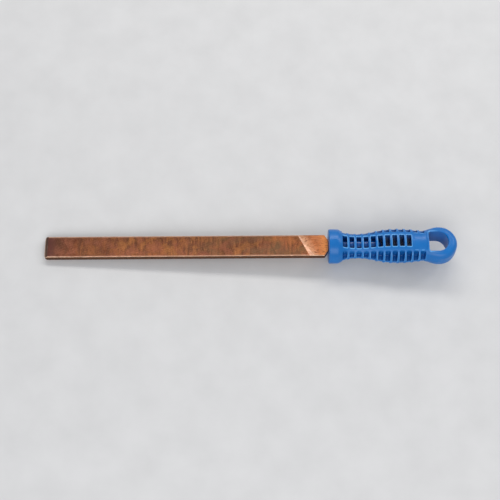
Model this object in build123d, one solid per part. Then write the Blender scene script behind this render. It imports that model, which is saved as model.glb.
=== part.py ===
"""Flat file of copper alloy with a one-piece moulded plastic handle.

Two pieces: the blade, forged in one with its tang, and the handle driven onto that tang.
Frame: X runs along the file from tip (-X) to butt (+X), Y across the width, Z out of the flats.
The origin is the centre of the whole file's bounding box. Millimetres.
"""

from build123d import *
import numpy as np
import os

# Overall lengths
BLADE_LENGTH = 250.0
HANDLE_LENGTH = 113.0
TIP_X = -(BLADE_LENGTH + HANDLE_LENGTH) / 2
MOUTH_X = TIP_X + BLADE_LENGTH
BUTT_X = MOUTH_X + HANDLE_LENGTH

# Blade: a parallel flat bar with a bevelled tip and sloping heel shoulders
BLADE_WIDTH = 20.0
BLADE_THICKNESS = 6.0
TIP_CORNER_RADIUS = 2.2
TIP_BEVEL_LENGTH = 2.4
TIP_BEVEL_DROP = 0.8
EDGE_CHAMFER = 0.35
SHOULDER_LENGTH = 3.2
SHOULDER_INNER_WIDTH = 10.0
HEEL_GAP = 0.3

# Tang: tapers in width and thickness, always thinner than the blade
TANG_END_X = MOUTH_X + 42.5
TANG_ROOT = (9.0, 5.0)
TANG_TIP = (4.0, 3.2)
TANG_CORNER_RADIUS = 0.5
TANG_OVERLAP = 1.0
SOCKET_CLEARANCE = 0.05
SOCKET_END_GAP = 0.5

# Handle grip: distance from the mouth, half width and half height of each oval section
COLLAR_SECTIONS = [
    (0.0, 14.5, 13.8),
    (0.9, 15.2, 14.5),
    (4.5, 15.3, 14.6),
    (8.2, 15.1, 14.3),
]
GRIP_SECTIONS = [
    (12.0, 13.5, 12.3),
    (15.0, 12.4, 10.9),
    (20.0, 11.6, 9.6),
    (26.0, 11.3, 8.9),
    (34.0, 12.1, 9.7),
    (42.0, 13.8, 11.1),
    (50.0, 15.3, 12.1),
    (58.0, 15.85, 12.7),
    (66.0, 15.8, 12.6),
    (74.0, 15.1, 12.0),
    (82.0, 14.1, 11.2),
    (90.0, 14.6, 10.4),
    (97.5, 15.3, 9.7),
]

# Hanging loop: a flat ring with rounded edges round a D-shaped hole
LOOP_RADIUS = 15.5
LOOP_HALF_HEIGHT = 9.8
LOOP_EDGE_RADIUS = 5.0
LOOP_X = BUTT_X - LOOP_RADIUS
HOLE_HALF_WIDTH = 9.25
HOLE_X = BUTT_X - 17.4
HOLE_FLAT_X = BUTT_X - 25.3
HOLE_CORNER_RADIUS = 2.0

# Ladder of windows down the middle, right through the grip
WINDOW_COUNT = 10
WINDOW_PITCH = 6.22
FIRST_WINDOW_X = MOUTH_X + 14.0
WINDOW_LENGTH = 3.8
WINDOW_WIDTH = 10.4
WINDOW_CORNER_RADIUS = 0.6

# Side pockets beside the windows and the panel, cut down to a web on the mid plane
POCKET_COUNT = 12
POCKET_LENGTH = 4.4
POCKET_INNER_SHARE = 0.32
POCKET_INNER_OFFSET = 4.2
WEB_THICKNESS = 2.0

# Round core that holds the tang, seen through the first windows
CORE_RADIUS = 5.5
CORE_END_X = MOUTH_X + 46.5
CORE_END_RADIUS = 3.0

# Plain panel between the last window and the loop, sunk a little into each face
PANEL_LENGTH = 11.2
PANEL_WIDTH = 16.0
PANEL_X = MOUTH_X + 80.0
PANEL_DEPTH = 0.5


def across(x):
    """Plane across the file at x, its own x axis along the file's width."""
    return Plane(origin=(x, 0, 0), x_dir=(0, 1, 0), z_dir=(1, 0, 0))


def tapered_bar(start_x, end_x, clearance):
    """Tang-shaped bar between two stations, grown all round by the clearance."""
    run = TANG_END_X - MOUTH_X
    ends = []
    for x in (start_x, end_x):
        share = (x - MOUTH_X) / run
        width, thickness = (
            root + share * (tip - root) + 2 * clearance
            for root, tip in zip(TANG_ROOT, TANG_TIP)
        )
        ends.append(across(x) * RectangleRounded(width, thickness, TANG_CORNER_RADIUS))
    return loft(ends, ruled=True)


def make_blade():
    """Flat bar with bevelled tip, shoulders and tang, in one piece."""
    half = BLADE_WIDTH / 2
    heel_x = MOUTH_X - HEEL_GAP
    outline = Polyline(
        (TIP_X, -half),
        (heel_x - SHOULDER_LENGTH, -half),
        (heel_x, -SHOULDER_INNER_WIDTH / 2),
        (heel_x, SHOULDER_INNER_WIDTH / 2),
        (heel_x - SHOULDER_LENGTH, half),
        (TIP_X, half),
        close=True,
    )
    bar = extrude(make_face(outline), BLADE_THICKNESS / 2, both=True)
    tip_corners = bar.edges().filter_by(Axis.Z).group_by(Axis.X)[0]
    bar = fillet(tip_corners, TIP_CORNER_RADIUS)
    flats = bar.faces().filter_by(Axis.Z)
    bar = chamfer(flats.edges(), EDGE_CHAMFER)
    for side in (-1, 1):
        bevel = Polyline(
            (TIP_X, side * (BLADE_THICKNESS / 2 - TIP_BEVEL_DROP)),
            (TIP_X + TIP_BEVEL_LENGTH, side * BLADE_THICKNESS / 2),
            (TIP_X, side * BLADE_THICKNESS / 2),
            close=True,
        )
        bar -= extrude(Plane.XZ * make_face(bevel), BLADE_WIDTH, both=True)
    return bar + tapered_bar(heel_x - TANG_OVERLAP, TANG_END_X, 0.0)


def grip_body(inset):
    """Oval grip from the mouth to the middle of the loop, shrunk all round by the inset."""
    sections = [
        across(MOUTH_X + along) * Ellipse(half_width - inset, half_height - inset)
        for along, half_width, half_height in COLLAR_SECTIONS + GRIP_SECTIONS
    ]
    return loft(sections)


def loop_disc():
    """Round end of the handle before its hole is cut."""
    disc = Pos(LOOP_X, 0, 0) * Cylinder(LOOP_RADIUS, 2 * LOOP_HALF_HEIGHT)
    return fillet(disc.edges().filter_by(GeomType.CIRCLE), LOOP_EDGE_RADIUS)


def hanging_hole():
    """D-shaped cutter: flat side towards the grip, round side towards the butt."""
    reach = 2 * LOOP_HALF_HEIGHT
    straight = Pos((HOLE_FLAT_X + HOLE_X) / 2, 0, 0) * Box(
        HOLE_X - HOLE_FLAT_X, 2 * HOLE_HALF_WIDTH, 2 * reach
    )
    corners = straight.edges().filter_by(Axis.Z).group_by(Axis.X)[0]
    straight = fillet(corners, HOLE_CORNER_RADIUS)
    return straight + Pos(HOLE_X, 0, 0) * Cylinder(HOLE_HALF_WIDTH, 2 * reach)


def windows():
    """Cutters for the ladder of windows through the grip."""
    reach = 2 * max(half_height for _, _, half_height in COLLAR_SECTIONS)
    return [
        Pos(FIRST_WINDOW_X + index * WINDOW_PITCH, 0, 0)
        * extrude(
            RectangleRounded(WINDOW_LENGTH, WINDOW_WIDTH, WINDOW_CORNER_RADIUS),
            reach,
            both=True,
        )
        for index in range(WINDOW_COUNT)
    ]


def pocket_inner_y(x):
    """Distance of a pocket's inner wall from the mid plane: further out where the grip is wide."""
    stations = [MOUTH_X + along for along, _, _ in GRIP_SECTIONS]
    half_widths = [half_width for _, half_width, _ in GRIP_SECTIONS]
    return POCKET_INNER_OFFSET + POCKET_INNER_SHARE * np.interp(x, stations, half_widths)


def side_pockets():
    """Cutters for the pockets on both sides, above and below the mid-plane web."""
    depth = 2 * LOOP_RADIUS
    cutters = []
    for index in range(POCKET_COUNT):
        x = FIRST_WINDOW_X + index * WINDOW_PITCH
        inner_y = pocket_inner_y(x)
        for side_y in (-1, 1):
            for side_z in (-1, 1):
                centre_y = side_y * (inner_y + depth / 2)
                centre_z = side_z * (WEB_THICKNESS / 2 + depth / 2)
                cutters.append(Pos(x, centre_y, centre_z) * Box(POCKET_LENGTH, depth, depth))
    return cutters


def panel_cutters():
    """Shallow cutters that follow the grip's curve, one in each face."""
    block = Pos(PANEL_X, 0, 0) * Box(PANEL_LENGTH, PANEL_WIDTH, 4 * LOOP_RADIUS)
    return block - grip_body(PANEL_DEPTH)


def core():
    """Round core along the axis, with a domed end."""
    length = CORE_END_X - FIRST_WINDOW_X + WINDOW_PITCH
    rod = Pos(CORE_END_X - length / 2, 0, 0) * Rot(0, 90, 0) * Cylinder(CORE_RADIUS, length)
    end = rod.edges().filter_by(GeomType.CIRCLE).sort_by(Axis.X)[-1]
    return fillet(end, CORE_END_RADIUS)


def make_handle():
    """Moulded handle: grip, loop, windows, pockets, panel, core and tang socket."""
    grip = grip_body(0.0)
    body = grip - windows() - side_pockets() - panel_cutters()
    body += loop_disc()
    body -= hanging_hole()
    body += core() & grip
    return body - tapered_bar(MOUTH_X, TANG_END_X + SOCKET_END_GAP, SOCKET_CLEARANCE)


os.makedirs("parts", exist_ok=True)
pieces = {"file_blade": make_blade(), "handle": make_handle()}
for name, shape in pieces.items():
    export_step(shape, f"parts/{name}.step")
    print(name, "volume mm3", round(shape.volume), "valid", shape.is_valid)
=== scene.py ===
"""Looks of a flat file: a copper-alloy blade with real cut teeth in a blue moulded handle.

Shapes are worked out in millimetres, in the frame's own axes: X from the tip to the butt,
Y across the blade, Z out of its flats. They are scaled to metres when a mesh is made.
"""

import math

import bmesh
import bpy
import numpy as np
from mathutils import Matrix, Vector


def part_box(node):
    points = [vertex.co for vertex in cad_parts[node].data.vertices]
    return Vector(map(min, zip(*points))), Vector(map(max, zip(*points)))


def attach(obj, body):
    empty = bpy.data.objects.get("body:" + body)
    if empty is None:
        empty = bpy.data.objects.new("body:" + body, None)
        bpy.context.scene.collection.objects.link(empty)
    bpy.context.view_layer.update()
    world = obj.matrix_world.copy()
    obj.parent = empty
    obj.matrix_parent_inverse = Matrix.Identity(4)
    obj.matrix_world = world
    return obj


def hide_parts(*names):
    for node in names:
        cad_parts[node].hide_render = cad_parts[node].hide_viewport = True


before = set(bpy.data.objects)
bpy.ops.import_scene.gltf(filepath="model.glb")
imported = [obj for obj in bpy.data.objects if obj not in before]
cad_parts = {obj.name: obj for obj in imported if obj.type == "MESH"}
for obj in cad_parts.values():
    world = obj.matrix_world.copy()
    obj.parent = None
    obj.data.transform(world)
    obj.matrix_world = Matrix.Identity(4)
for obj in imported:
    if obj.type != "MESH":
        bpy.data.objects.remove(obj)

MM = 0.001

# TINY keeps a division finite, and NUDGE keeps a place at a row's start inside that row
TINY = 1e-9
NUDGE = 1e-6

RNG = np.random.default_rng(48)

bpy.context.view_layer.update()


def millimetres(corner):
    """A frame corner as a numpy triple in millimetres."""
    return np.array(corner) / MM


blade_low, blade_high = (millimetres(c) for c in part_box("file_blade"))
handle_low, handle_high = (millimetres(c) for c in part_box("handle"))

# Blade, from the frame
TIP_X = blade_low[0]
HALF_WIDTH = blade_high[1]
HALF_THICK = blade_high[2]
TANG_END_X = blade_high[0]
MOUTH_X = handle_low[0]
BUTT_X = handle_high[0]
HEEL_GAP = 0.3
HEEL_X = MOUTH_X - HEEL_GAP

# Blade outline and edges. A corner is its distance before the heel's end, then its half width
TIP_CORNER_RADIUS = 2.2
TIP_BEVEL_LENGTH = 2.4
TIP_BEVEL_DROP = 0.8
EDGE_INSET = 0.35
EDGE_DROP = 0.4
FLAT_HALF_WIDTH = HALF_WIDTH - EDGE_INSET
SHOULDER_LENGTH = 3.2
SHOULDER_CORNERS = [(1.2, 7.0), (0.3, 5.6), (0.0, 5.0), (0.0, 1.8)]
HEEL_RIM_CORNERS = [(SHOULDER_LENGTH + 0.2, FLAT_HALF_WIDTH), (1.5, 6.9), (EDGE_INSET, 4.8)]
SHARP_ANGLE = math.radians(30)

# Extent of the cut and of the ramp that ends it
BEVEL_START_X = TIP_X + TIP_BEVEL_LENGTH
CUT_START_X = BEVEL_START_X + 0.25
CUT_END_X = MOUTH_X - 21.85
RAMP_WIDTH_FAR = 1.5
RAMP_WIDTH_NEAR = 4.6

# Teeth: upcut rows lean with the end of the cut, overcut rows cross them.
# A profile lists (share of the spacing, height)
UPCUT_LEAN = math.tan(math.radians(26.8))
OVERCUT_LEAN = math.tan(math.radians(45.0))
UPCUT_SPACING = 1.05
OVERCUT_SPACING = 1.45
UPCUT_DEPTH = 0.42
OVERCUT_DEPTH = 0.30
UPCUT_PROFILE = [(0.0, -UPCUT_DEPTH), (0.22, 0.0), (0.6, -0.45 * UPCUT_DEPTH), (1.0, -UPCUT_DEPTH)]
OVERCUT_PROFILE = [(0.0, -OVERCUT_DEPTH), (0.3, 0.0), (0.7, 0.0), (1.0, -OVERCUT_DEPTH)]

# Unevenness of the rows and of single points. Crests lie a little below the flat, and the
# upper share of a tooth's depth looks rubbed. By the tip only a share of the depth is left
ROW_UNEVENNESS = 0.018
POINT_UNEVENNESS = 0.02
CREST_DROP = 0.03
CREST_SHARE = 0.22
WORN_LENGTH = 11.0
WORN_DEPTH_SHARE = 0.3

# The lattice of teeth is made this far past the cut, then trimmed to it and welded
ROW_MARGIN = 14.0
RAMP_MARGIN = 2.0
KEPT_MARGIN = 4.0
TRIM_TOLERANCE = 1e-4
WELD_DISTANCE = 0.02

# Fine teeth on both edges
EDGE_TOOTH_SPACING = 1.3
EDGE_TOOTH_DEPTH = 0.16
EDGE_TOOTH_PROFILE = [(0.0, -EDGE_TOOTH_DEPTH), (0.3, 0.0), (0.45, 0.0), (1.0, -EDGE_TOOTH_DEPTH)]
EDGE_TEETH_START_X = CUT_START_X + 1.5
PLAIN_EDGE_START_X = CUT_END_X + 3.0

# Tang, the same taper as the socket that it sits in: width and thickness at both ends
TANG_ROOT = (9.0, 5.0)
TANG_TIP = (4.0, 3.2)
TANG_SLACK = 0.06
TANG_RING_POINTS = 32
TANG_ROUNDNESS = 0.35
TANG_DENTS = 0.025
TANG_TIP_LENGTH = 0.6
TANG_TIP_SHARE = 0.8
SOCKET_CLEARANCE = 0.05
SOCKET_END_GAP = 0.5
SOCKET_CORNER_RADIUS = 0.5

# Grip sections: distance from the mouth, half width, half height
GRIP_SECTIONS = np.array([
    (0.0, 15.2, 14.5),
    (4.5, 15.3, 14.6),
    (8.2, 15.1, 14.3),
    (12.0, 13.5, 12.3),
    (15.0, 12.4, 10.9),
    (20.0, 11.6, 9.6),
    (26.0, 11.3, 8.9),
    (34.0, 12.1, 9.7),
    (42.0, 13.8, 11.1),
    (50.0, 15.3, 12.1),
    (58.0, 15.85, 12.65),
    (66.0, 15.8, 12.6),
    (74.0, 15.1, 12.0),
    (82.0, 14.1, 11.2),
    (90.0, 14.6, 10.4),
    (97.5, 15.3, 9.7),
])
MOUTH_EDGE_RADIUS = 1.0

# Hanging loop
LOOP_RADIUS = 15.5
LOOP_HALF_HEIGHT = 9.8
LOOP_EDGE_RADIUS = 5.8
LOOP_BLEND = 3.0
LOOP_X = BUTT_X - LOOP_RADIUS
HOLE_HALF_WIDTH = 9.25
HOLE_X = BUTT_X - 17.4
HOLE_FLAT_X = BUTT_X - 25.3
HOLE_CORNER_RADIUS = 2.0
HOLE_RIM_RADIUS = 0.8
LIP_WIDTH = 2.1
LIP_HEIGHT = 0.42
LIP_SLOPE = 1.1

# Windows and side pockets
WINDOW_COUNT = 10
WINDOW_PITCH = 6.22
FIRST_WINDOW_X = MOUTH_X + 14.0
WINDOW_HALF_LENGTH = 1.9
WINDOW_HALF_WIDTH = 5.2
WINDOW_CORNER_RADIUS = 0.5
WINDOW_DRAFT = 0.012
POCKET_COUNT = 12
POCKET_HALF_LENGTH = 2.2
POCKET_END_DRAFT = 0.03
POCKET_FULL_LENGTH_HEIGHT = 8.0
POCKET_INNER_SHARE = 0.32
POCKET_INNER_OFFSET = 4.2
POCKET_INNER_DRAFT = 0.07
POCKET_INNER_HEIGHT = 6.0
POCKET_FLOOR_RADIUS = 0.6
POCKET_ARCH_RADIUS = 1.5
WEB_HALF_THICKNESS = 1.0
RIM_RADIUS = 0.45

# Core, and the sunk panel between the windows and the loop
CORE_RADIUS = 5.5
CORE_END_X = MOUTH_X + 46.5
CORE_END_RADIUS = 3.0
CORE_FILLET = 0.4
PANEL_X = MOUTH_X + 80.0
PANEL_HALF_LENGTH = 5.6
PANEL_HALF_WIDTH = 8.0
PANEL_CORNER_RADIUS = 1.0
PANEL_DEPTH = 0.45
PANEL_SLOPE = 1.1

# Lines left by the mould: a seam on the collar, and the parting line round the sides
SEAM_START = 0.8
SEAM_LENGTH = 8.5
SEAM_HEIGHT = 0.24
SEAM_HALF_WIDTH = 0.5
PARTING_START_Y = 7.0
PARTING_END_LENGTH = 4.0
PARTING_HEIGHT = 0.14

# Surface net, and how far it looks past the surface for rims and recesses
GRID_STEP = 0.54
GRID_MARGIN = 1.5 * GRID_STEP
RELAX_ROUNDS = 3
RELAX_SHARE = 0.5
SETTLE_ROUNDS = 2
SETTLE_LIMIT = 0.4
RIM_REACH = 0.9
CAVITY_REACH = 3.5

# Camera, floor and surroundings
CAMERA_ELEVATION = math.radians(65.0)
CAMERA_DISTANCE = 1.0
CAMERA_LENS = 81.6
CAMERA_ROLL = math.radians(0.4)
AIM = Vector((-0.7, -2.9, 0.0)) * MM
FLOOR_SIZE = 60.0
FLOOR_GAP = 0.1
WORLD_STRENGTH = 0.5


# ---------------------------------------------------------------- fields of distance

def smoothstep(start, end, value):
    """0 at start, 1 at end and smooth between, whichever of the two is larger."""
    t = np.clip((value - start) / (end - start), 0.0, 1.0)
    return t * t * (3.0 - 2.0 * t)


def round_max(a, b, radius):
    """Intersection of two fields with its convex edge rounded to the radius."""
    over_a = np.maximum(a + radius, 0.0)
    over_b = np.maximum(b + radius, 0.0)
    return np.minimum(np.maximum(a, b), -radius) + np.hypot(over_a, over_b)


def round_min(a, b, radius):
    """Union of two fields with a fillet of the radius where they meet."""
    return -round_max(-a, -b, radius)


def rounded_box(*gaps, radius):
    """Field of a box whose gaps are the distances past its faces, with rounded edges."""
    past = np.stack([gap + radius for gap in np.broadcast_arrays(*gaps)])
    outside = np.sqrt((np.maximum(past, 0.0) ** 2).sum(axis=0))
    return outside + np.minimum(past.max(axis=0), 0.0) - radius


def through_sections(x, column):
    """Half width (column 1) or half height (column 2) of the grip, smooth along x."""
    stations = GRIP_SECTIONS[:, 0] + MOUTH_X
    values = GRIP_SECTIONS[:, column]
    slopes = np.gradient(values, stations)
    index = np.clip(np.searchsorted(stations, x) - 1, 0, len(stations) - 2)
    run = stations[index + 1] - stations[index]
    t = np.clip((x - stations[index]) / run, 0.0, 1.0)
    rise = smoothstep(0.0, 1.0, t)
    bend_in = t * (1.0 - t) ** 2 * run * slopes[index]
    bend_out = t * t * (t - 1.0) * run * slopes[index + 1]
    return values[index] * (1.0 - rise) + values[index + 1] * rise + bend_in + bend_out


def hull_field(x, y, z):
    """The handle before anything is cut into it: oval grip, flat mouth and rounded loop."""
    half_width, half_height = through_sections(x, 1), through_sections(x, 2)
    reach = np.hypot(y / half_width, z / half_height) + TINY
    slope = np.hypot(y / half_width**2, z / half_height**2) + TINY
    grip = reach * (reach - 1.0) / slope
    grip = round_max(grip, MOUTH_X - x, MOUTH_EDGE_RADIUS)
    grip = round_max(grip, x - LOOP_X, LOOP_BLEND)
    loop = rounded_box(
        np.hypot(x - LOOP_X, y) - LOOP_RADIUS,
        np.abs(z) - LOOP_HALF_HEIGHT,
        radius=LOOP_EDGE_RADIUS,
    )
    return round_min(grip, loop, LOOP_BLEND)


def nearest_station(x, count):
    """Distance along the handle from the nearest window or pocket centre."""
    index = np.clip(np.round((x - FIRST_WINDOW_X) / WINDOW_PITCH), 0, count - 1)
    return np.abs(x - FIRST_WINDOW_X - index * WINDOW_PITCH)


def window_field(x, y, z):
    """Windows through the grip, a little wider at both faces than in the middle."""
    draft = WINDOW_DRAFT * np.abs(z)
    along = nearest_station(x, WINDOW_COUNT) - WINDOW_HALF_LENGTH - draft
    return rounded_box(along, np.abs(y) - WINDOW_HALF_WIDTH - draft, radius=WINDOW_CORNER_RADIUS)


def pocket_field(x, y, z):
    """Side pockets down to the web on the mid plane, arched at their drafted inner wall."""
    above = np.abs(z) - WEB_HALF_THICKNESS
    narrowing = POCKET_END_DRAFT * (POCKET_FULL_LENGTH_HEIGHT - above)
    along = nearest_station(x, POCKET_COUNT) - POCKET_HALF_LENGTH + narrowing
    wall = POCKET_INNER_OFFSET + POCKET_INNER_SHARE * through_sections(x, 1)
    inner = wall - POCKET_INNER_DRAFT * (above - POCKET_INNER_HEIGHT) - np.abs(y)
    plan = rounded_box(along, inner, radius=POCKET_ARCH_RADIUS)
    return round_max(plan, -above, POCKET_FLOOR_RADIUS)


def hole_field(x, y):
    """D-shaped hanging hole, flat side towards the grip."""
    straight = rounded_box(
        HOLE_FLAT_X - x, np.abs(y) - HOLE_HALF_WIDTH, radius=HOLE_CORNER_RADIUS
    )
    disc = np.hypot(x - HOLE_X, y) - HOLE_HALF_WIDTH
    return np.where(x > HOLE_X, disc, straight)


def socket_field(x, y, z):
    """Tapered socket for the tang."""
    share = (x - MOUTH_X) / (TANG_END_X - MOUTH_X)
    gaps = []
    for across, root, tip in zip((y, z), TANG_ROOT, TANG_TIP):
        half = (root + share * (tip - root)) / 2 + SOCKET_CLEARANCE
        gaps.append(np.abs(across) - half)
    return rounded_box(*gaps, x - TANG_END_X - SOCKET_END_GAP, radius=SOCKET_CORNER_RADIUS)


def core_field(x, y, z):
    """Round core that holds the tang, with a domed end."""
    return rounded_box(
        np.hypot(y, z) - CORE_RADIUS,
        x - CORE_END_X,
        FIRST_WINDOW_X - WINDOW_PITCH - x,
        radius=CORE_END_RADIUS,
    )


def sink_panel(body, x, y):
    """Lowers the panel in both faces, with a smooth slope round it."""
    panel = rounded_box(
        np.abs(x - PANEL_X) - PANEL_HALF_LENGTH,
        np.abs(y) - PANEL_HALF_WIDTH,
        radius=PANEL_CORNER_RADIUS,
    )
    return body + PANEL_DEPTH * smoothstep(PANEL_SLOPE / 2, -PANEL_SLOPE / 2, panel)


def raise_mould_lines(body, x, y, z):
    """Raises the seam along the collar, and the parting line round the sides and the butt."""
    past_mouth = x - MOUTH_X - SEAM_START
    seam = np.clip(MOUTH_X + SEAM_LENGTH - x, 0.0, 1.0) * np.clip(past_mouth, 0.0, 1.0)
    body = body - SEAM_HEIGHT * seam * np.exp(-((y / SEAM_HALF_WIDTH) ** 2))
    side = np.clip(np.minimum(np.abs(y) - PARTING_START_Y, past_mouth), 0.0, 1.0)
    side = np.maximum(side, np.clip(x - BUTT_X + PARTING_END_LENGTH, 0.0, 1.0))
    return body - PARTING_HEIGHT * side * np.exp(-((z / SEAM_HALF_WIDTH) ** 2))


def handle_field(points):
    """Signed distance in millimetres from the handle's surface, negative inside."""
    x, y, z = points.T
    body = sink_panel(hull_field(x, y, z), x, y)
    body = raise_mould_lines(body, x, y, z)
    hole = hole_field(x, y)
    body = body - LIP_HEIGHT * smoothstep(LIP_WIDTH, LIP_WIDTH - LIP_SLOPE, hole)
    body = round_max(body, -window_field(x, y, z), RIM_RADIUS)
    body = round_max(body, -pocket_field(x, y, z), RIM_RADIUS)
    body = round_min(body, core_field(x, y, z), CORE_FILLET)
    body = round_max(body, -hole, HOLE_RIM_RADIUS)
    return np.maximum(body, -socket_field(x, y, z))


# ---------------------------------------------------------------- mesh tools

def surface_net(field, low, step):
    """Vertices and outward quads where a sampled field changes sign, one vertex per cell."""
    inside = field < 0.0
    cell_shape = tuple(n - 1 for n in field.shape)
    total = np.zeros(cell_shape + (3,))
    count = np.zeros(cell_shape)
    for axis in range(3):
        b, c = (axis + 1) % 3, (axis + 2) % 3
        for shift_b in (0, 1):
            for shift_c in (0, 1):
                near = [None] * 3
                near[b] = slice(shift_b, field.shape[b] - 1 + shift_b)
                near[c] = slice(shift_c, field.shape[c] - 1 + shift_c)
                far = list(near)
                near[axis], far[axis] = slice(0, -1), slice(1, None)
                start, end = field[tuple(near)], field[tuple(far)]
                crossed = (start < 0.0) != (end < 0.0)
                share = np.where(crossed, start / np.where(crossed, start - end, 1.0), 0.0)
                total[..., axis] += share
                total[..., b] += crossed * shift_b
                total[..., c] += crossed * shift_c
                count += crossed
    active = count > 0
    numbers = np.full(cell_shape, -1)
    numbers[active] = np.arange(active.sum())
    corners = np.argwhere(active) + total[active] / count[active][:, None]
    quads = []
    for axis in range(3):
        b, c = (axis + 1) % 3, (axis + 2) % 3
        before, after = [slice(None)] * 3, [slice(None)] * 3
        before[axis], after[axis] = slice(0, -1), slice(1, None)
        edges = np.argwhere(inside[tuple(before)] != inside[tuple(after)])
        around = []
        for shift_b, shift_c in ((-1, -1), (0, -1), (0, 0), (-1, 0)):
            cell = edges.copy()
            cell[:, b] += shift_b
            cell[:, c] += shift_c
            around.append(numbers[tuple(cell.T)])
        ring = np.stack(around, axis=1)
        leaving = inside[tuple(edges.T)]
        quads.append(np.where(leaving[:, None], ring, ring[:, ::-1]))
    return low + corners * step, np.concatenate(quads)


def slope_of(field, points, reach=0.02):
    """Gradient of a field at the points, by central differences."""
    slope = np.empty_like(points)
    for axis in range(3):
        shift = np.zeros(3)
        shift[axis] = reach
        slope[:, axis] = (field(points + shift) - field(points - shift)) / (2 * reach)
    return slope


def settle(points, quads, field, step):
    """Evens out a surface net and brings each vertex onto the field's true surface."""
    edges = np.concatenate([quads[:, [i, (i + 1) % 4]] for i in range(4)])
    degree = np.bincount(edges[:, 0], minlength=len(points))[:, None]
    for turn in range(RELAX_ROUNDS + SETTLE_ROUNDS):
        slope = slope_of(field, points)
        steep = (slope**2).sum(axis=1, keepdims=True) + TINY
        if turn < RELAX_ROUNDS:
            mean = np.stack(
                [np.bincount(edges[:, 0], points[edges[:, 1], k], len(points)) for k in range(3)],
                axis=1,
            ) / degree
            pull = RELAX_SHARE * (mean - points)
            points = points + pull - slope * ((pull * slope).sum(axis=1, keepdims=True) / steep)
        move = slope * (field(points)[:, None] / steep)
        points = points - np.clip(move, -SETTLE_LIMIT * step, SETTLE_LIMIT * step)
    return points


def mesh_object(name, points, faces):
    """A mesh object from points in millimetres."""
    mesh = bpy.data.meshes.new(name)
    mesh.from_pydata((np.asarray(points) * MM).tolist(), [], np.asarray(faces).tolist())
    mesh.validate()
    obj = bpy.data.objects.new(name, mesh)
    bpy.context.scene.collection.objects.link(obj)
    return obj


def point_attribute(obj, name, values):
    """Stores one number per vertex for a material to read."""
    layer = obj.data.attributes.new(name, "FLOAT", "POINT")
    layer.data.foreach_set("value", np.asarray(values, np.float32))


# ---------------------------------------------------------------- handle

def make_handle():
    """The moulded handle as one closed mesh, drawn round its field of distance."""
    half = handle_high[1:] + GRID_MARGIN
    counts = np.ceil(2 * half / GRID_STEP / 2).astype(int) * 2
    xs = np.arange(MOUTH_X - GRID_MARGIN, BUTT_X + GRID_MARGIN, GRID_STEP)
    ys, zs = ((np.arange(n) - (n - 1) / 2) * GRID_STEP for n in counts)
    grid = np.stack(np.meshgrid(xs, ys, zs, indexing="ij"), axis=-1)
    values = handle_field(grid.reshape(-1, 3)).reshape(grid.shape[:3])
    low = np.array([xs[0], ys[0], zs[0]])
    points, quads = surface_net(values, low, GRID_STEP)
    points = settle(points, quads, handle_field, GRID_STEP)
    handle = mesh_object("moulded_handle", points, quads)
    normals = slope_of(handle_field, points)
    normals /= np.linalg.norm(normals, axis=1, keepdims=True)
    handle.data.shade_smooth()
    handle.data.normals_split_custom_set_from_vertices(normals.tolist())
    # edge: how near a convex rim each vertex is, which the plastic turns into pale rims, partly
    # wear and partly a painted highlight
    rim = 1.0 + handle_field(points - RIM_REACH * normals) / RIM_REACH
    # cavity: how enclosed each vertex is, which the plastic turns into painted shade and glossier
    # recesses
    cavity = 1.0 - handle_field(points + CAVITY_REACH * normals) / CAVITY_REACH
    point_attribute(handle, "edge", rim)
    point_attribute(handle, "cavity", cavity)
    return handle


# ---------------------------------------------------------------- blade

def tooth_height(along, spacing, profile):
    """Height of a row pattern, from a list of (share of the spacing, height)."""
    shares, heights = zip(*profile)
    return np.interp(((along + NUDGE) / spacing) % 1.0, shares, heights)


def row_stations(low, high, spacing, profile):
    """Every profile corner of a row pattern between two places."""
    rows = np.arange(math.floor(low / spacing), math.ceil(high / spacing) + 1)
    shares = np.array([share for share, _ in profile[:-1]])
    return (rows[:, None] + shares[None, :]).ravel() * spacing


def unworn(x):
    """0 at the worn start of the cut and 1 where the teeth have their full depth."""
    return smoothstep(CUT_START_X, CUT_START_X + WORN_LENGTH, x)


def tooth_lattice():
    """Points of the toothed flat, past all its sides, and quads that follow the two cuts."""
    start, end = CUT_START_X - ROW_MARGIN, CUT_END_X + ROW_MARGIN
    up = row_stations(start, CUT_END_X + RAMP_MARGIN, UPCUT_SPACING, UPCUT_PROFILE)
    over = row_stations(start, end, OVERCUT_SPACING, OVERCUT_PROFILE)
    u, v = np.meshgrid(up, over, indexing="ij")
    y = (u - v) / (UPCUT_LEAN + OVERCUT_LEAN)
    x = u - y * UPCUT_LEAN
    dip = np.minimum(
        tooth_height(u, UPCUT_SPACING, UPCUT_PROFILE),
        tooth_height(v, OVERCUT_SPACING, OVERCUT_PROFILE),
    )
    rows = np.floor(up / UPCUT_SPACING + NUDGE).astype(int)
    row_dips = np.abs(RNG.normal(0.0, ROW_UNEVENNESS, rows.max() - rows.min() + 1))
    dip = dip - row_dips[rows - rows.min()][:, None]
    wear = WORN_DEPTH_SHARE + (1.0 - WORN_DEPTH_SHARE) * unworn(x)
    dip = (dip + RNG.normal(0.0, POINT_UNEVENNESS, dip.shape)) * wear - CREST_DROP
    z = HALF_THICK + np.minimum(dip, 0.0)
    spread = FLAT_HALF_WIDTH * (UPCUT_LEAN + OVERCUT_LEAN) + KEPT_MARGIN
    kept = (np.abs(u - v) < spread) & (x > CUT_START_X - KEPT_MARGIN) & (x < MOUTH_X)
    numbers = np.full(u.shape, -1)
    numbers[kept] = np.arange(kept.sum())
    quads = np.stack(
        [numbers[:-1, :-1], numbers[1:, :-1], numbers[1:, 1:], numbers[:-1, 1:]], axis=-1
    ).reshape(-1, 4)
    points = np.stack([x[kept], y[kept], z[kept]], axis=1)
    return points, quads[(quads >= 0).all(axis=1)]


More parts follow.
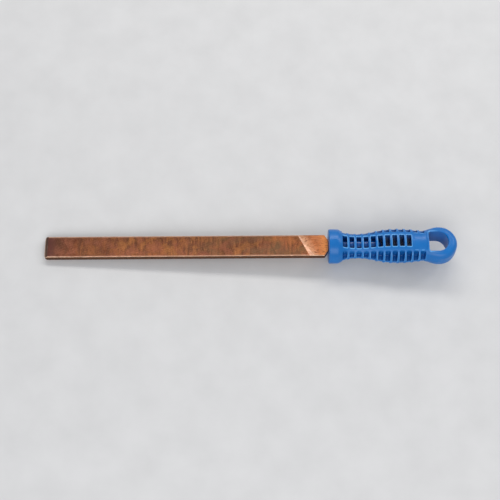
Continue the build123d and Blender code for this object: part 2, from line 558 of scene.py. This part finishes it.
def toothed_sheet(mesh):
    """Fills mesh with the cut part of the upper flat, trimmed to its four sides."""
    points, quads = tooth_lattice()
    verts = [mesh.verts.new(p) for p in points.tolist()]
    for quad in quads.tolist():
        mesh.faces.new([verts[k] for k in quad])
    cuts = [
        ((CUT_START_X, 0, 0), Vector((-1, 0, 0))),
        ((CUT_END_X, 0, 0), Vector((1.0, UPCUT_LEAN, 0.0)).normalized()),
        ((0, FLAT_HALF_WIDTH, 0), Vector((0, 1, 0))),
        ((0, -FLAT_HALF_WIDTH, 0), Vector((0, -1, 0))),
    ]
    for place, out in cuts:
        geometry = mesh.verts[:] + mesh.edges[:] + mesh.faces[:]
        bmesh.ops.bisect_plane(
            mesh,
            geom=geometry,
            dist=TRIM_TOLERANCE,
            plane_co=place,
            plane_no=out,
            clear_outer=True,
        )
    loose = [v for v in mesh.verts if not v.link_faces]
    bmesh.ops.delete(mesh, geom=loose, context="VERTS")
    bmesh.ops.remove_doubles(mesh, verts=mesh.verts[:], dist=WELD_DISTANCE)


def tip_half(inset):
    """Half of the tip's outline, inset by so much, from the middle of the tip to its side."""
    radius = TIP_CORNER_RADIUS - inset
    centre = (TIP_X + TIP_CORNER_RADIUS, HALF_WIDTH - TIP_CORNER_RADIUS)
    half = [(TIP_X + inset, y) for y in np.linspace(1.0, centre[1] - 1.0, 7)]
    for angle in np.linspace(math.pi, math.pi / 2, 11):
        x = centre[0] + radius * math.cos(angle)
        half.append((x, centre[1] + radius * math.sin(angle)))
    return half


def tip_height(x, drop):
    """Height of the tip's bevelled face, or of an edge that lies drop below it."""
    share = np.clip((BEVEL_START_X - x) / (BEVEL_START_X - TIP_X), 0.0, 1.0)
    return HALF_THICK - drop - TIP_BEVEL_DROP * share


def plan_outline():
    """Outline of the blade seen from above, as (x, y), from the tip's middle round by +Y."""
    half = tip_half(0.0)
    spacing, profile = EDGE_TOOTH_SPACING, EDGE_TOOTH_PROFILE
    for x in row_stations(EDGE_TEETH_START_X, CUT_END_X, spacing, profile):
        half.append((x, HALF_WIDTH + tooth_height(x, spacing, profile)))
    for x in np.linspace(PLAIN_EDGE_START_X, HEEL_X - SHOULDER_LENGTH, 8):
        half.append((x, HALF_WIDTH))
    half += [(HEEL_X - before, y) for before, y in SHOULDER_CORNERS]
    return half + [(x, -y) for x, y in reversed(half)]


def arc_shares(points):
    """How far round a closed loop each point is, from 0 to 1."""
    points = np.asarray(points)
    steps = np.linalg.norm(np.diff(points, axis=0, append=points[:1]), axis=1)
    return np.concatenate([[0.0], np.cumsum(steps)[:-1]]) / steps.sum()


def nearest_shares(points, loop, shares):
    """Place of each point along a closed loop, by its nearest spot on the loop."""
    points, loop = np.asarray(points)[:, None], np.asarray(loop)
    step = np.roll(loop, -1, axis=0) - loop
    t = ((points - loop) * step).sum(-1) / (step**2).sum(-1)
    t = np.clip(t, 0.0, 1.0)
    gap = np.linalg.norm(loop + t[..., None] * step - points, axis=-1)
    best = gap.argmin(axis=1)
    following = np.append(shares[1:], 1.0)
    rows = np.arange(len(best))
    return shares[best] + t[rows, best] * (following[best] - shares[best])


def zip_strip(mesh, first, first_places, second, second_places, finish):
    """Triangles between two runs of vertices, advancing along whichever is behind."""
    first_places = np.maximum.accumulate(first_places)
    second_places = np.maximum.accumulate(second_places)
    i = j = 0
    while i < len(first) - 1 or j < len(second) - 1:
        on_first = j == len(second) - 1 or (
            i < len(first) - 1 and first_places[i + 1] <= second_places[j + 1]
        )
        corner = first[i + 1] if on_first else second[j + 1]
        if corner not in (first[i], second[j]):
            mesh.faces.new([first[i], second[j], corner])[finish] = 1.0
        i, j = (i + 1, j) if on_first else (i, j + 1)


def zip_loops(mesh, inner, inner_places, outer, outer_places, finish):
    """Triangles between two closed loops of vertices."""
    start = int(np.argmin(inner_places))
    inner = inner[start:] + inner[:start]
    inner_places = np.roll(inner_places, -start)
    zip_strip(
        mesh,
        inner + inner[:1],
        np.append(inner_places, 1.0 + inner_places[0]),
        outer + outer[:1],
        np.append(outer_places, 1.0 + outer_places[0]),
        finish,
    )


def flat_xy(verts):
    """Plan positions of vertices."""
    return np.array([v.co.xy for v in verts])


def boundary_ring(mesh):
    """Every vertex on the sheet's edge in order: up the tip, along +Y and back along -Y."""
    border = [v for v in mesh.verts if v.is_boundary]
    ring = [min(border, key=lambda v: v.co.x + v.co.y)]
    last = None
    while len(ring) == 1 or ring[-1] is not ring[0]:
        ways = [e for e in ring[-1].link_edges if e.is_boundary and e is not last]
        last = max(ways, key=lambda e: e.other_vert(ring[-1]).co.y - e.other_vert(ring[-1]).co.x)
        ring.append(last.other_vert(ring[-1]))
    return ring[:-1]


def border_runs(mesh):
    """Edge of the toothed sheet in four runs: the tip, the +Y side, the ramp, the -Y side."""
    ring = boundary_ring(mesh)
    slant = FLAT_HALF_WIDTH * UPCUT_LEAN
    corners = [
        (CUT_START_X, FLAT_HALF_WIDTH),
        (CUT_END_X - slant, FLAT_HALF_WIDTH),
        (CUT_END_X + slant, -FLAT_HALF_WIDTH),
    ]
    places = flat_xy(ring)
    b, c, d = (int(np.linalg.norm(places - corner, axis=1).argmin()) for corner in corners)
    return ring[: b + 1], ring[b : c + 1], ring[c : d + 1], ring[d:] + ring[:1]


def bevel_tip(mesh, on_tip, finish):
    """Bevelled face beyond the teeth. Returns its rim, from the tip's middle out by each side."""
    across = np.linspace(-FLAT_HALF_WIDTH, FLAT_HALF_WIDTH, 15)
    top = [mesh.verts.new((BEVEL_START_X, y, HALF_THICK)) for y in across]
    zip_strip(
        mesh, on_tip, [v.co.y for v in on_tip], top, [v.co.y for v in top], finish["bevel"]
    )
    half = [mesh.verts.new((x, y, tip_height(x, 0.0))) for x, y in tip_half(EDGE_INSET)]
    other = [mesh.verts.new((v.co.x, -v.co.y, v.co.z)) for v in half]
    mesh.faces.new(top + half[::-1] + other)[finish["bevel"]] = 1.0
    return half + [top[-1]], [top[0]] + other[::-1]


def heel_flat(mesh, on_ramp, finish):
    """Ramp at the end of the cut and the ground flat beyond it. Returns the flat's rim."""
    ramp_top = []
    for share in np.linspace(0.0, 1.0, 22):
        y = FLAT_HALF_WIDTH * (1.0 - 2.0 * share)
        width = RAMP_WIDTH_FAR + (RAMP_WIDTH_NEAR - RAMP_WIDTH_FAR) * share**2
        x = CUT_END_X - y * UPCUT_LEAN + width
        ramp_top.append(mesh.verts.new((x, y, HALF_THICK)))
    corners = [(HEEL_X - before, y) for before, y in HEEL_RIM_CORNERS]
    corners += [(x, -y) for x, y in reversed(corners)]
    heel_rim = [mesh.verts.new((x, y, HALF_THICK)) for x, y in corners]
    ramp_places = [-v.co.y for v in on_ramp]
    top_places = [-v.co.y for v in ramp_top]
    zip_strip(mesh, on_ramp, ramp_places, ramp_top, top_places, finish["ramp"])
    mesh.faces.new(ramp_top + heel_rim[::-1])[finish["ground"]] = 1.0
    return [ramp_top[0]] + heel_rim + [ramp_top[-1]]


def upper_cap(mesh, finish):
    """Upper half of the blade down to its outline. Returns the outline's vertices in order."""
    toothed_sheet(mesh)
    on_tip, far, on_ramp, near = border_runs(mesh)
    tip_far, tip_near = bevel_tip(mesh, on_tip, finish)
    rim = tip_far + far + heel_flat(mesh, on_ramp, finish) + near + tip_near
    outline = plan_outline()
    outer = [mesh.verts.new((x, y, tip_height(x, EDGE_DROP))) for x, y in outline]
    shares = arc_shares(outline)
    places = nearest_shares(flat_xy(rim), outline, shares)
    zip_loops(mesh, rim, places, outer, shares, finish["edge"])
    return outer


def lower_cap(mesh, upper, finish):
    """Turned copy of the upper half, and the sides between. Returns the verts round the tang."""
    everything = mesh.verts[:] + mesh.edges[:] + mesh.faces[:]
    copy = bmesh.ops.duplicate(mesh, geom=everything)
    turned = [g for g in copy["geom"] if isinstance(g, bmesh.types.BMVert)]
    half_turn = Matrix.Rotation(math.pi, 3, "X")
    bmesh.ops.rotate(mesh, verts=turned, cent=(0, 0, 0), matrix=half_turn)
    lower = [copy["vert_map"][v] for v in reversed(upper)]
    hole = []
    for i in range(len(upper)):
        k = (i + 1) % len(upper)
        if min(upper[i].co.x, upper[k].co.x) > HEEL_X - NUDGE:
            hole += [upper[i], lower[i], upper[k], lower[k]]
            continue
        mesh.faces.new([upper[i], upper[k], lower[k], lower[i]])[finish["side"]] = 1.0
    return set(hole)


def tang_ring(mesh, x):
    """One dented, rounded rectangle of the tang, a little inside its socket."""
    share = (x - MOUTH_X) / (TANG_END_X - MOUTH_X)
    half = [
        (root + share * (tip - root)) / 2 - TANG_SLACK for root, tip in zip(TANG_ROOT, TANG_TIP)
    ]
    step = math.tau / TANG_RING_POINTS
    ring = []
    for turn in np.arange(0, TANG_RING_POINTS) * math.tau / TANG_RING_POINTS + step / 2:
        c, s = math.cos(turn), math.sin(turn)
        y = math.copysign(abs(c) ** TANG_ROUNDNESS, c) * half[0]
        z = math.copysign(abs(s) ** TANG_ROUNDNESS, s) * half[1]
        dent = abs(RNG.normal(0.0, TANG_DENTS)) * (x > HEEL_X)
        ring.append(mesh.verts.new((x, y * (1 - dent / half[0]), z * (1 - dent / half[1]))))
    return ring


def turn_share(vert):
    """Share of a turn round the blade's axis at which a vertex lies."""
    return (math.atan2(vert.co.z, vert.co.y) / math.tau) % 1.0


def add_tang(mesh, hole, finish):
    """Tapered tang out of the heel's end face, closing the hole left there for it."""
    rings = [tang_ring(mesh, x) for x in np.linspace(HEEL_X, TANG_END_X - TANG_TIP_LENGTH, 34)]
    shrink = TANG_TIP_SHARE
    rings.append(
        [mesh.verts.new((TANG_END_X, v.co.y * shrink, v.co.z * shrink)) for v in rings[-1]]
    )
    for before, after in zip(rings, rings[1:]):
        for i in range(len(before)):
            k = (i + 1) % len(before)
            mesh.faces.new([before[i], after[i], after[k], before[k]])[finish["tang"]] = 1.0
    mesh.faces.new(rings[-1])[finish["tang"]] = 1.0
    root, hole = sorted(rings[0], key=turn_share), sorted(hole, key=turn_share)
    root_places = [turn_share(v) for v in root]
    zip_loops(mesh, root, root_places, hole, [turn_share(v) for v in hole], finish["side"])


def tooth_attributes(blade):
    """Stores how deep in a groove each vertex lies, and how near to the crest of a tooth."""
    places = np.empty(3 * len(blade.data.vertices))
    blade.data.vertices.foreach_get("co", places)
    x, y, z = places.reshape(-1, 3).T / MM
    in_teeth = (x > CUT_START_X) & (x + y * np.sign(z) * UPCUT_LEAN < CUT_END_X)
    in_teeth &= np.abs(y) < FLAT_HALF_WIDTH + WELD_DISTANCE / 2
    depth = np.where(in_teeth, HALF_THICK - CREST_DROP - np.abs(z), 0.0) / UPCUT_DEPTH
    point_attribute(blade, "groove", depth)
    point_attribute(blade, "crest", unworn(x) * np.clip(1.0 - depth / CREST_SHARE, 0.0, 1.0))


def make_blade():
    """Blade with toothed flats, ground heel, chamfered edges and tang, as one closed mesh."""
    mesh = bmesh.new()
    names = ("bevel", "ramp", "ground", "edge", "side", "tang")
    finish = {name: mesh.faces.layers.float.new(name) for name in names}
    upper = upper_cap(mesh, finish)
    hole = lower_cap(mesh, upper, finish)
    add_tang(mesh, hole, finish)
    bmesh.ops.recalc_face_normals(mesh, faces=mesh.faces[:])
    bmesh.ops.triangulate(mesh, faces=[f for f in mesh.faces if len(f.verts) > 4])
    for face in mesh.faces:
        face.smooth = face[finish["side"]] + face[finish["edge"]] + face[finish["tang"]] > 0.5
    bmesh.ops.scale(mesh, vec=(MM, MM, MM), verts=mesh.verts[:])
    data = bpy.data.meshes.new("toothed_blade")
    mesh.to_mesh(data)
    mesh.free()
    blade = bpy.data.objects.new("toothed_blade", data)
    bpy.context.scene.collection.objects.link(blade)
    data.set_sharp_from_angle(angle=SHARP_ANGLE)
    tooth_attributes(blade)
    return blade


# ---------------------------------------------------------------- materials

class Look:
    """A material under construction: each method adds a node and returns its output."""

    def __init__(self, name):
        self.material = bpy.data.materials.new(name)
        self.material.use_nodes = True
        self.tree = self.material.node_tree
        self.surface = self.tree.nodes["Principled BSDF"]
        self.place = self.node("ShaderNodeTexCoord").outputs["Object"]

    def node(self, kind, **settings):
        """A new node of a kind, with its settings."""
        node = self.tree.nodes.new(kind)
        for key, value in settings.items():
            setattr(node, key, value)
        return node

    def feed(self, socket, value):
        """Joins an output to a socket, or sets a plain value on it."""
        if isinstance(value, bpy.types.NodeSocket):
            self.tree.links.new(value, socket)
        elif isinstance(value, tuple) and len(value) == 3 and socket.type == "RGBA":
            socket.default_value = value + (1.0,)
        else:
            socket.default_value = value

    def attribute(self, name):
        """A number stored on the mesh."""
        return self.node("ShaderNodeAttribute", attribute_name=name).outputs["Fac"]

    def stretched(self, x, y, z):
        """The piece's own coordinates, scaled: a small scale draws a pattern out."""
        node = self.node("ShaderNodeMapping")
        self.feed(node.inputs["Vector"], self.place)
        node.inputs["Scale"].default_value = (x, y, z)
        return node.outputs["Vector"]

    def noise(self, size, detail=2.0, roughness=0.5, place=None):
        """Noise whose patches are about so many millimetres across."""
        node = self.node("ShaderNodeTexNoise")
        self.feed(node.inputs["Vector"], place or self.place)
        node.inputs["Scale"].default_value = 1.0 / (size * MM)
        node.inputs["Detail"].default_value = detail
        node.inputs["Roughness"].default_value = roughness
        return node.outputs["Fac"]

    def remap(self, value, low, high, to_low=0.0, to_high=1.0):
        """A value's range brought to another range, and held inside it."""
        node = self.node("ShaderNodeMapRange")
        for socket, number in zip(node.inputs, (value, low, high, to_low, to_high)):
            self.feed(socket, number)
        return node.outputs["Result"]

    def maths(self, operation, a, b):
        """Two numbers put together by an operation."""
        node = self.node("ShaderNodeMath", operation=operation)
        self.feed(node.inputs[0], a)
        self.feed(node.inputs[1], b)
        return node.outputs["Value"]

    def mix(self, share, a, b, blend="MIX"):
        """Colour b over colour a, by a share. The colour sockets are inputs 6 and 7, output 2."""
        node = self.node("ShaderNodeMix", data_type="RGBA", blend_type=blend)
        self.feed(node.inputs[0], share)
        self.feed(node.inputs[6], a)
        self.feed(node.inputs[7], b)
        return node.outputs[2]

    def ramp(self, value, *stops):
        """Colours strung along a value."""
        node = self.node("ShaderNodeValToRGB")
        self.feed(node.inputs["Fac"], value)
        while len(node.color_ramp.elements) < len(stops):
            node.color_ramp.elements.new(1.0)
        for element, (place, colour) in zip(node.color_ramp.elements, stops):
            element.position = place
            element.color = colour + (1.0,)
        return node.outputs["Color"]

    def bump(self, height, distance, strength=1.0, under=None):
        """Bump with its height in millimetres."""
        node = self.node("ShaderNodeBump")
        node.inputs["Strength"].default_value = strength
        node.inputs["Distance"].default_value = distance * MM
        self.feed(node.inputs["Height"], height)
        if under is not None:
            self.feed(node.inputs["Normal"], under)
        return node.outputs["Normal"]

    def axis(self, name):
        """One of the piece's own coordinates, in metres."""
        split = self.node("ShaderNodeSeparateXYZ")
        self.feed(split.inputs[0], self.place)
        return split.outputs[name]

    def along(self):
        """Share of the way from the tip to the mouth."""
        return self.remap(self.axis("X"), TIP_X * MM, MOUTH_X * MM)

    def across(self):
        """Distance from the middle of the blade's width, in millimetres."""
        return self.maths("DIVIDE", self.maths("ABSOLUTE", self.axis("Y"), 0.0), MM)

    def past_cut(self):
        """Distance along the blade past the slanted end of the cut, in millimetres."""
        face = self.maths("SIGN", self.axis("Z"), 0.0)
        lean = self.maths("MULTIPLY", face, UPCUT_LEAN)
        slanted = self.maths("ADD", self.axis("X"), self.maths("MULTIPLY", self.axis("Y"), lean))
        return self.maths("SUBTRACT", self.maths("DIVIDE", slanted, MM), CUT_END_X)


def teeth_tarnish(look, along, patches, mottle):
    """Tarnish on the teeth: sooty at the tip, brown and golden in patches, brighter at the heel."""
    shifted = look.maths("ADD", along, look.remap(patches, 0.2, 0.8, -0.12, 0.12))
    colour = look.ramp(
        shifted,
        (0.0, (0.090, 0.028, 0.019)),
        (0.1, (0.260, 0.075, 0.038)),
        (0.28, (0.500, 0.180, 0.070)),
        (0.48, (0.540, 0.200, 0.080)),
        (0.7, (0.500, 0.205, 0.095)),
        (0.88, (0.850, 0.300, 0.125)),
    )
    stripes = look.noise(1.9, 3.0, 0.7, look.stretched(1.0, 0.15, 1.0))
    colour = look.mix(look.remap(mottle, 0.48, 0.66, 0.0, 0.6), colour, (0.20, 0.08, 0.05))
    colour = look.mix(look.remap(stripes, 0.38, 0.58, 0.85, 0.0), colour, (0.14, 0.055, 0.035))
    warmth = look.noise(9.0, 3.0, 0.6)
    colour = look.mix(look.remap(warmth, 0.50, 0.64, 0.0, 0.5), colour, (0.56, 0.20, 0.12))
    golden = look.remap(warmth, 0.50, 0.36, 0.0, 0.6)
    golden = look.maths("MULTIPLY", golden, look.remap(along, 0.1, 0.3))
    colour = look.mix(golden, colour, (0.64, 0.27, 0.085))
    soot = look.remap(look.axis("X"), (TIP_X + 6.0) * MM, (TIP_X + 17.0) * MM, 0.7, 0.0)
    return look.mix(soot, colour, (0.10, 0.036, 0.032))


def handled_teeth(look, colour, along):
    """Green stain towards the heel, with one side of the teeth there stained and one polished."""
    drifts = look.noise(12.0, 3.0, 0.6, look.stretched(0.8, 1.2, 1.0))
    green = look.remap(drifts, 0.47, 0.70, 0.0, 0.8)
    green = look.maths("MULTIPLY", green, look.remap(along, 0.4, 0.7))
    held = look.maths("MULTIPLY", look.remap(along, 0.76, 0.83), look.remap(along, 0.90, 0.86))
    stain = look.remap(look.axis("Y"), 2.0 * MM, -5.0 * MM, 0.0, 0.55)
    polish = look.remap(look.axis("Y"), 1.0 * MM, 6.0 * MM, 0.0, 0.40)
    green = look.maths("MAXIMUM", green, look.maths("MULTIPLY", held, stain))
    colour = look.mix(green, colour, (0.24, 0.175, 0.095))
    return look.mix(look.maths("MULTIPLY", held, polish), colour, (0.92, 0.38, 0.13))


def tooth_relief(look, colour, mottle):
    """Dirt in the grooves, rubbed crests, and a pale border along both sides of the teeth that is
    partly rubbed and partly a painted highlight.
    """
    groove = look.attribute("groove")
    colour = look.mix(look.remap(groove, 0.35, 1.0, 0.0, 0.65), colour, (0.05, 0.02, 0.012))
    crest = look.maths("MULTIPLY", look.attribute("crest"), 0.55)
    colour = look.mix(crest, colour, (0.78, 0.38, 0.19))
    # Pale border by the edges: partly rubbed wear, partly a painted highlight along the rims
    border = look.remap(look.across(), HALF_WIDTH - 1.4, HALF_WIDTH - 0.6, 0.0, 0.8)
    border = look.maths("MULTIPLY", border, look.remap(mottle, 0.35, 0.6, 0.5, 1.0))
    return look.mix(border, colour, (0.80, 0.52, 0.38))


def bare_heel(look, streaks, scratches, pits, mottle):
    """Bare metal of the heel: brushed along, scoured next to the cut, amber near the shoulders."""
    colour = look.mix(look.remap(streaks, 0.35, 0.7), (0.42, 0.125, 0.045), (0.62, 0.24, 0.10))
    colour = look.mix(look.remap(scratches, 0.6, 0.75, 0.0, 0.5), colour, (0.80, 0.46, 0.26))
    beside_cut = look.remap(look.past_cut(), 2.0, 10.0, 0.9, 0.0)
    colour = look.mix(look.maths("MULTIPLY", beside_cut, scratches), colour, (0.95, 0.62, 0.40))
    amber = look.remap(look.axis("X"), (HEEL_X - 9.0) * MM, (HEEL_X - 4.0) * MM, 0.0, 0.5)
    colour = look.mix(amber, colour, (0.78, 0.30, 0.085))
    colour = look.mix(look.remap(mottle, 0.5, 0.72, 0.0, 0.5), colour, (0.32, 0.11, 0.045))
    return look.mix(look.remap(pits, 0.53, 0.64, 0.0, 0.9), colour, (0.14, 0.045, 0.022))


def bright_ramp(look, scratches, pits):
    """Bright scratched metal of the ramp at the end of the cut, a little pitted."""
    colour = look.mix(look.remap(scratches, 0.4, 0.7), (0.66, 0.34, 0.21), (0.92, 0.62, 0.45))
    return look.mix(look.remap(pits, 0.56, 0.66, 0.0, 0.6), colour, (0.40, 0.16, 0.08))


def dull_bevel(look, mottle):
    """Dull metal of the tip's bevel, with a painted highlight along its rim, brightest at its
    corners.
    """
    colour = look.mix(look.remap(mottle, 0.3, 0.7), (0.14, 0.085, 0.065), (0.09, 0.048, 0.036))
    # Painted highlight along the bevel's rim, brightest towards its corners
    rim = look.remap(look.axis("X"), (TIP_X + 1.1) * MM, (TIP_X + 0.5) * MM, 0.0, 0.55)
    corner = look.remap(look.across(), HALF_WIDTH - 4.0, HALF_WIDTH - 1.5, 0.6, 1.6)
    return look.mix(look.maths("MULTIPLY", rim, corner), colour, (0.62, 0.45, 0.36))


def copper_alloy():
    """Tarnished copper alloy: brown and mottled on the teeth, bare and brushed on the heel, with
    painted shade across its width and painted highlights on its edges and tip.
    """
    look = Look("copper_alloy")
    along = look.along()
    patches = look.noise(16.0, 3.0, 0.6)
    mottle = look.noise(4.5, 4.0, 0.65)
    streaks = look.noise(1.0, 3.0, 0.6, look.stretched(0.06, 1.6, 1.6))
    scratches = look.noise(0.6, 2.0, 0.5, look.stretched(0.3, 1.0, 1.0))
    pits = look.noise(0.9, 4.0, 0.75, look.stretched(0.3, 1.0, 1.0))

    teeth = teeth_tarnish(look, along, patches, mottle)
    teeth = tooth_relief(look, handled_teeth(look, teeth, along), mottle)
    # Pale chamfers on the edges: partly rubbed wear, partly a painted highlight
    rims = look.mix(look.remap(scratches, 0.35, 0.65), (0.55, 0.33, 0.22), (0.82, 0.58, 0.42))
    sides = look.mix(look.remap(mottle, 0.3, 0.7), (0.10, 0.042, 0.020), (0.20, 0.085, 0.04))
    forged = look.mix(look.remap(patches, 0.3, 0.7), (0.09, 0.05, 0.035), (0.24, 0.12, 0.07))
    finishes = {
        "ground": bare_heel(look, streaks, scratches, pits, mottle),
        "ramp": bright_ramp(look, scratches, pits),
        "bevel": dull_bevel(look, mottle),
        "edge": rims,
        "side": sides,
        "tang": forged,
    }
    colour = teeth
    for name, finish in finishes.items():
        colour = look.mix(look.attribute(name), colour, finish)
    # Painted shade: the far side of the blade darker, the near side lighter
    shade = look.remap(look.axis("Y"), HALF_WIDTH * MM, -HALF_WIDTH * MM, 0.80, 1.06)
    colour = look.mix(1.0, colour, shade, "MULTIPLY")

    rough = look.remap(mottle, 0.3, 0.7, 0.45, 0.6)
    rough = look.maths("ADD", rough, look.remap(look.attribute("tang"), 0.0, 1.0, 0.0, 0.15))
    rough = look.maths("SUBTRACT", rough, look.remap(look.attribute("ground"), 0.0, 1.0, 0.0, 0.08))
    normal = look.bump(look.noise(0.6, 3.0, 0.6), 0.03, 0.6)
    normal = look.bump(streaks, 0.04, 0.5, normal)
    look.feed(look.surface.inputs["Base Color"], colour)
    look.feed(look.surface.inputs["Roughness"], rough)
    look.feed(look.surface.inputs["Normal"], normal)
    look.surface.inputs["Metallic"].default_value = 0.9
    return look.material


def blue_plastic():
    """Moulded blue plastic: satin, with painted shade in its recesses and pale rims that are partly
    rubbed and partly a painted highlight.
    """
    look = Look("blue_plastic")
    patches = look.noise(14.0, 3.0, 0.6)
    grain = look.noise(0.5, 3.0, 0.6)
    blue = look.mix(look.remap(patches, 0.3, 0.7), (0.001, 0.130, 0.43), (0.002, 0.150, 0.48))
    # Pale rims: partly rubbed wear, partly a painted highlight along the edges and round the hole's
    # lip
    rubbed = look.maths(
        "MULTIPLY",
        look.remap(look.attribute("edge"), 0.1, 0.5),
        look.remap(look.noise(3.0, 4.0, 0.6), 0.3, 0.7, 0.45, 1.0),
    )
    blue = look.mix(rubbed, blue, (0.14, 0.44, 0.84))
    recess = look.attribute("cavity")
    # Painted shade: the more enclosed a spot is, in pockets, windows and corners, the darker its
    # blue
    blue = look.mix(look.remap(recess, 0.2, 0.8, 0.0, 0.75), blue, (0.003, 0.026, 0.19))
    scuffs = look.noise(1.0, 3.0, 0.7, look.stretched(0.25, 1.2, 1.2))
    blue = look.mix(look.remap(scuffs, 0.68, 0.74, 0.0, 0.25), blue, (0.07, 0.26, 0.58))
    rough = look.remap(patches, 0.3, 0.7, 0.30, 0.40)
    rough = look.maths("ADD", rough, look.remap(scuffs, 0.6, 0.75, 0.0, 0.12))
    rough = look.maths("SUBTRACT", rough, look.remap(recess, 0.2, 0.7, 0.0, 0.16))
    normal = look.bump(grain, 0.02, 0.35)
    normal = look.bump(patches, 0.12, 0.3, normal)
    look.surface.inputs["Specular IOR Level"].default_value = 0.38
    look.feed(look.surface.inputs["Base Color"], blue)
    look.feed(look.surface.inputs["Roughness"], rough)
    look.feed(look.surface.inputs["Normal"], normal)
    return look.material


def floor_look():
    """Pale matt floor with a faint grain."""
    look = Look("pale_floor")
    grain = look.remap(look.noise(30.0, 4.0, 0.5), 0.3, 0.7)
    look.feed(look.surface.inputs["Base Color"], look.mix(grain, (0.60,) * 3, (0.64,) * 3))
    look.surface.inputs["Roughness"].default_value = 0.9
    return look.material


# ---------------------------------------------------------------- stage, light and camera

def make_floor():
    """Floor under the tip's lower edge and the collar's lowest point, where the file rests."""
    collar_x = MOUTH_X + GRIP_SECTIONS[1, 0]
    collar_z = -GRIP_SECTIONS[1, 2]
    slope = math.atan2(collar_z + HALF_THICK, collar_x - TIP_X)
    bpy.ops.mesh.primitive_plane_add(size=FLOOR_SIZE)
    floor = bpy.context.object
    floor.name = "floor"
    floor.rotation_euler = (0.0, -slope, 0.0)
    height = collar_z - math.tan(slope) * collar_x - FLOOR_GAP
    floor.location = (0.0, 0.0, height * MM)
    floor.data.materials.append(floor_look())


def softbox(name, place, width, height, watts, colour=(1.0, 1.0, 1.0)):
    """A soft rectangular light, aimed at the middle of the file."""
    light = bpy.data.lights.new(name, "AREA")
    light.shape = "RECTANGLE"
    light.size = width
    light.size_y = height
    light.energy = watts
    light.color = colour
    obj = bpy.data.objects.new(name, light)
    obj.location = place
    obj.rotation_euler = Vector(place).to_track_quat("Z", "Y").to_euler()
    bpy.context.scene.collection.objects.link(obj)


def light_studio():
    """Pale surroundings, a key beyond the file, a fill above the camera and a small side light."""
    world = bpy.data.worlds.new("studio")
    bpy.context.scene.world = world
    world.use_nodes = True
    background = world.node_tree.nodes["Background"]
    background.inputs["Color"].default_value = (0.93, 0.95, 1.0, 1.0)
    background.inputs["Strength"].default_value = WORLD_STRENGTH
    softbox("key", (0.05, 0.95, 1.0), 1.5, 0.28, 9.6, (1.0, 0.98, 0.95))
    softbox("fill", (0.0, -1.05, 0.85), 1.5, 0.8, 10.0)
    softbox("side", (1.0, 0.5, 0.7), 0.28, 0.24, 2.0)
    bpy.context.scene.view_settings.view_transform = "Standard"


def place_camera():
    """Camera in front of the file and high above it."""
    data = bpy.data.cameras.new("camera")
    data.lens = CAMERA_LENS
    camera = bpy.data.objects.new("camera", data)
    back = Vector((0.0, -math.cos(CAMERA_ELEVATION), math.sin(CAMERA_ELEVATION)))
    camera.location = AIM + back * CAMERA_DISTANCE
    upright = (-back).to_track_quat("-Z", "Y").to_matrix()
    camera.rotation_euler = (upright @ Matrix.Rotation(-CAMERA_ROLL, 3, "Z")).to_euler()
    bpy.context.scene.collection.objects.link(camera)
    bpy.context.scene.camera = camera


place_camera()
make_floor()
light_studio()

handle = make_handle()
handle.data.materials.append(blue_plastic())
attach(handle, "grip")
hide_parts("handle")

blade = make_blade()
blade.data.materials.append(copper_alloy())
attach(blade, "blade")
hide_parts("file_blade")

bpy.context.view_layer.update()
